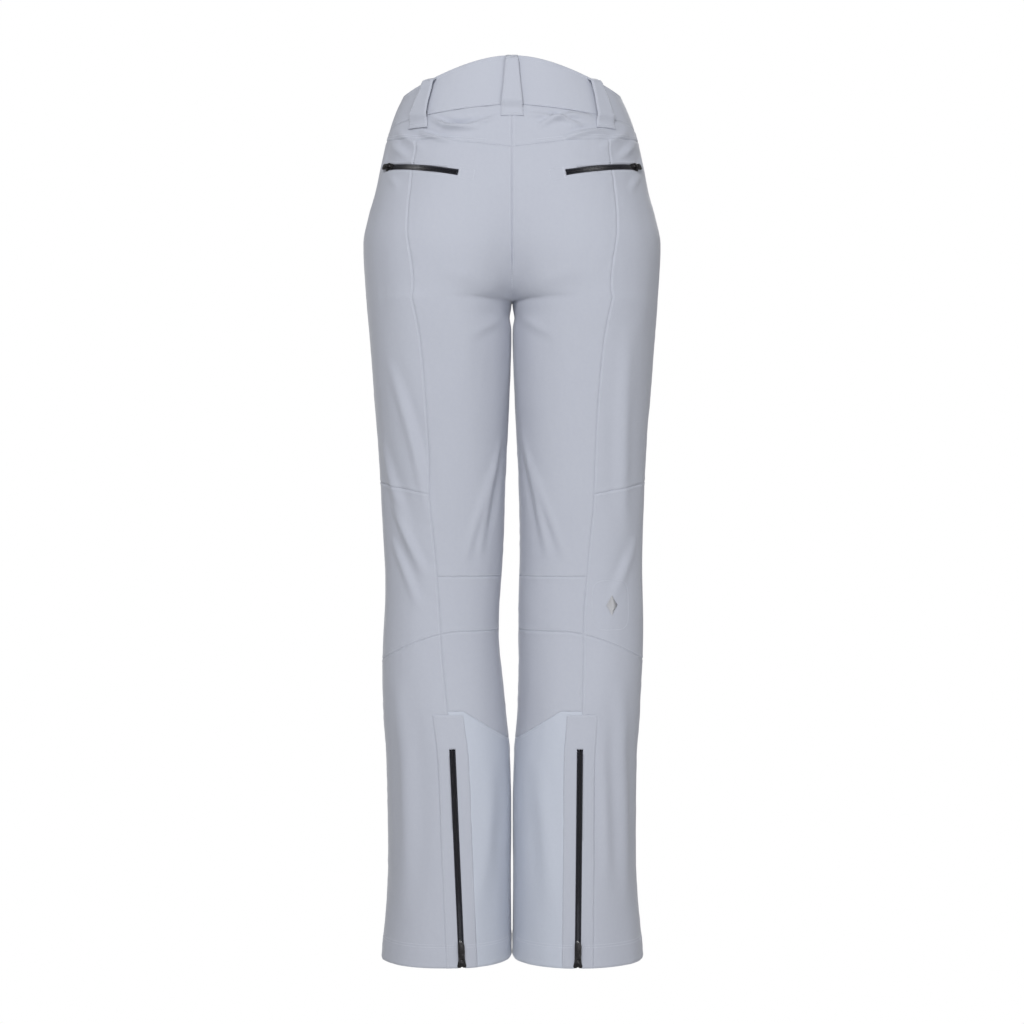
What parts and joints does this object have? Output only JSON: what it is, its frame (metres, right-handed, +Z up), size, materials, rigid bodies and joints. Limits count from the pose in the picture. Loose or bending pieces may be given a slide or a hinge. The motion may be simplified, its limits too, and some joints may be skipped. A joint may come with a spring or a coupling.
{
  "type": "ski pants",
  "caption": "Regular-leg insulated ski pants with contoured waistband, belt loops, zipped pockets, fly zip and zipped leg gussets.",
  "frame": {"origin": "centre of the waist opening, level with the waistband's top edge at the side seams, where the pants hang on the wearer", "axes": "+Z up along the body, +Y towards the wearer's back, +X towards the wearer's left, so the front faces -Y"},
  "size_m": [0.3674, 0.2306, 1.1002],
  "materials": {
    "shell": "matt pale grey-lilac stretch shell, fine weave, printed to look soft; padded lining behind",
    "waistband": "matt pale grey-lilac stretch shell with a brushed facing inside",
    "kick_patch": "denser, slightly bluer abrasion cloth",
    "lining": "smooth lining taffeta",
    "zip_chain": "near-black moulded zip teeth on woven tape",
    "zip_metal": "dark gunmetal enamel"
  },
  "bodies": {
    "trousers": {"left_seat_panel": "shell", "left_hip_side_panel": "shell", "left_back_yoke": "shell", "left_knee_back_panel": "shell", "left_calf_panel": "shell", "left_knee_panel": "shell", "left_shin_side_panel": "shell", "left_shin_front_panel": "shell", "left_front_panel": "shell", "left_leg_zip_placket": "shell", "left_kick_patch": "kick_patch", "left_leg_zip_chain": "zip_chain", "left_back_pocket_zip_chain": "zip_chain", "left_hand_pocket_zip_chain": "zip_chain", "left_back_pocket_bag": "lining", "left_hand_pocket_bag": "lining", "left_powder_gaiter": "lining", "right_seat_panel": "shell", "right_hip_side_panel": "shell", "right_back_yoke": "shell", "right_knee_back_panel": "shell", "right_calf_panel": "shell", "right_knee_panel": "shell", "right_shin_side_panel": "shell", "right_shin_front_panel": "shell", "right_front_panel": "shell", "right_leg_zip_placket": "shell", "right_kick_patch": "kick_patch", "right_leg_zip_chain": "zip_chain", "right_back_pocket_zip_chain": "zip_chain", "right_hand_pocket_zip_chain": "zip_chain", "right_back_pocket_bag": "lining", "right_hand_pocket_bag": "lining", "right_powder_gaiter": "lining", "waistband": "waistband", "belt_loop_centre_back": "shell", "belt_loop_left_back": "shell", "belt_loop_right_back": "shell", "belt_loop_left_front": "shell", "belt_loop_right_front": "shell", "fly_zip_chain": "zip_chain", "fly_facing": "lining", "snap_stud": "zip_metal"},
    "left_leg_zip_slider": {"left_leg_zip_slider": "zip_metal"},
    "left_leg_zip_pull": {"left_leg_zip_pull": "zip_metal"},
    "left_back_pocket_zip_slider": {"left_back_pocket_zip_slider": "zip_metal"},
    "left_back_pocket_zip_pull": {"left_back_pocket_zip_pull": "zip_metal"},
    "left_hand_pocket_zip_slider": {"left_hand_pocket_zip_slider": "zip_metal"},
    "left_hand_pocket_zip_pull": {"left_hand_pocket_zip_pull": "zip_metal"},
    "right_leg_zip_slider": {"right_leg_zip_slider": "zip_metal"},
    "right_leg_zip_pull": {"right_leg_zip_pull": "zip_metal"},
    "right_back_pocket_zip_slider": {"right_back_pocket_zip_slider": "zip_metal"},
    "right_back_pocket_zip_pull": {"right_back_pocket_zip_pull": "zip_metal"},
    "right_hand_pocket_zip_slider": {"right_hand_pocket_zip_slider": "zip_metal"},
    "right_hand_pocket_zip_pull": {"right_hand_pocket_zip_pull": "zip_metal"},
    "fly_zip_slider": {"fly_zip_slider": "zip_metal"},
    "fly_zip_pull": {"fly_zip_pull": "zip_metal"},
    "closure_tab": {"waist_tab": "waistband", "snap_cap": "zip_metal"}
  },
  "joints": [
    {"name": "left_leg_zip_slide", "type": "slide", "parent": "trousers", "child": "left_leg_zip_slider", "axis": [0.0443, -0.0204, 0.9988], "range_m": [0, 0.2491]},
    {"name": "left_leg_zip_pull_swing", "type": "hinge", "parent": "left_leg_zip_slider", "child": "left_leg_zip_pull", "pos_m": [0.06024, 0.09358, -1.05478], "axis": [-0.9923, -0.1163, 0.0417], "range_deg": [0, 160]},
    {"name": "left_back_pocket_zip_slide", "type": "hinge", "parent": "trousers", "child": "left_back_pocket_zip_slider", "pos_m": [0.04629, -0.00707, -0.11626], "axis": [-0.1873, -0.0412, 0.9814], "range_deg": [0, 45.29]},
    {"name": "left_back_pocket_zip_pull_swing", "type": "hinge", "parent": "left_back_pocket_zip_slider", "child": "left_back_pocket_zip_pull", "pos_m": [0.15023, 0.06072, -0.09283], "axis": [-0.3022, -0.1169, 0.9461], "range_deg": [0, 160]},
    {"name": "left_hand_pocket_zip_slide", "type": "hinge", "parent": "trousers", "child": "left_hand_pocket_zip_slider", "pos_m": [-0.2535, -0.06073, -0.31898], "axis": [-0.1282, 0.963, 0.2372], "range_deg": [0, 14.07]},
    {"name": "left_hand_pocket_zip_pull_swing", "type": "hinge", "parent": "left_hand_pocket_zip_slider", "child": "left_hand_pocket_zip_pull", "pos_m": [0.13463, -0.07043, -0.08149], "axis": [-0.3498, -0.8038, -0.4812], "range_deg": [0, 160]},
    {"name": "right_leg_zip_slide", "type": "slide", "parent": "trousers", "child": "right_leg_zip_slider", "axis": [-0.0111, -0.0281, 0.9995], "range_m": [0, 0.2489]},
    {"name": "right_leg_zip_pull_swing", "type": "hinge", "parent": "right_leg_zip_slider", "child": "right_leg_zip_pull", "pos_m": [-0.07926, 0.09573, -1.05476], "axis": [-0.9995, -0.0281, -0.0119], "range_deg": [0, 160]},
    {"name": "right_back_pocket_zip_slide", "type": "hinge", "parent": "trousers", "child": "right_back_pocket_zip_slider", "pos_m": [-0.04629, -0.00707, -0.11626], "axis": [-0.1873, 0.0412, -0.9814], "range_deg": [0, 45.29]},
    {"name": "right_back_pocket_zip_pull_swing", "type": "hinge", "parent": "right_back_pocket_zip_slider", "child": "right_back_pocket_zip_pull", "pos_m": [-0.15023, 0.06072, -0.09283], "axis": [-0.3022, 0.1169, -0.9461], "range_deg": [0, 160]},
    {"name": "right_hand_pocket_zip_slide", "type": "hinge", "parent": "trousers", "child": "right_hand_pocket_zip_slider", "pos_m": [0.2535, -0.06073, -0.31898], "axis": [-0.1282, -0.963, -0.2372], "range_deg": [0, 14.07]},
    {"name": "right_hand_pocket_zip_pull_swing", "type": "hinge", "parent": "right_hand_pocket_zip_slider", "child": "right_hand_pocket_zip_pull", "pos_m": [-0.13463, -0.07043, -0.08149], "axis": [-0.3498, 0.8038, 0.4812], "range_deg": [0, 160]},
    {"name": "fly_zip_slide", "type": "hinge", "parent": "trousers", "child": "fly_zip_slider", "pos_m": [0, 0.3527, -0.09118], "axis": [1, 0, 0], "range_deg": [0, 12.4]},
    {"name": "fly_zip_pull_swing", "type": "hinge", "parent": "fly_zip_slider", "child": "fly_zip_pull", "pos_m": [0, -0.10558, -0.07688], "axis": [-1, 0, 0], "range_deg": [0, 160]},
    {"name": "waist_tab_open", "type": "hinge", "parent": "trousers", "child": "closure_tab", "pos_m": [-0.04395, -0.10266, -0.0629], "axis": [-0.0502, -0.0991, -0.9938], "range_deg": [0, 110]}
  ]
}
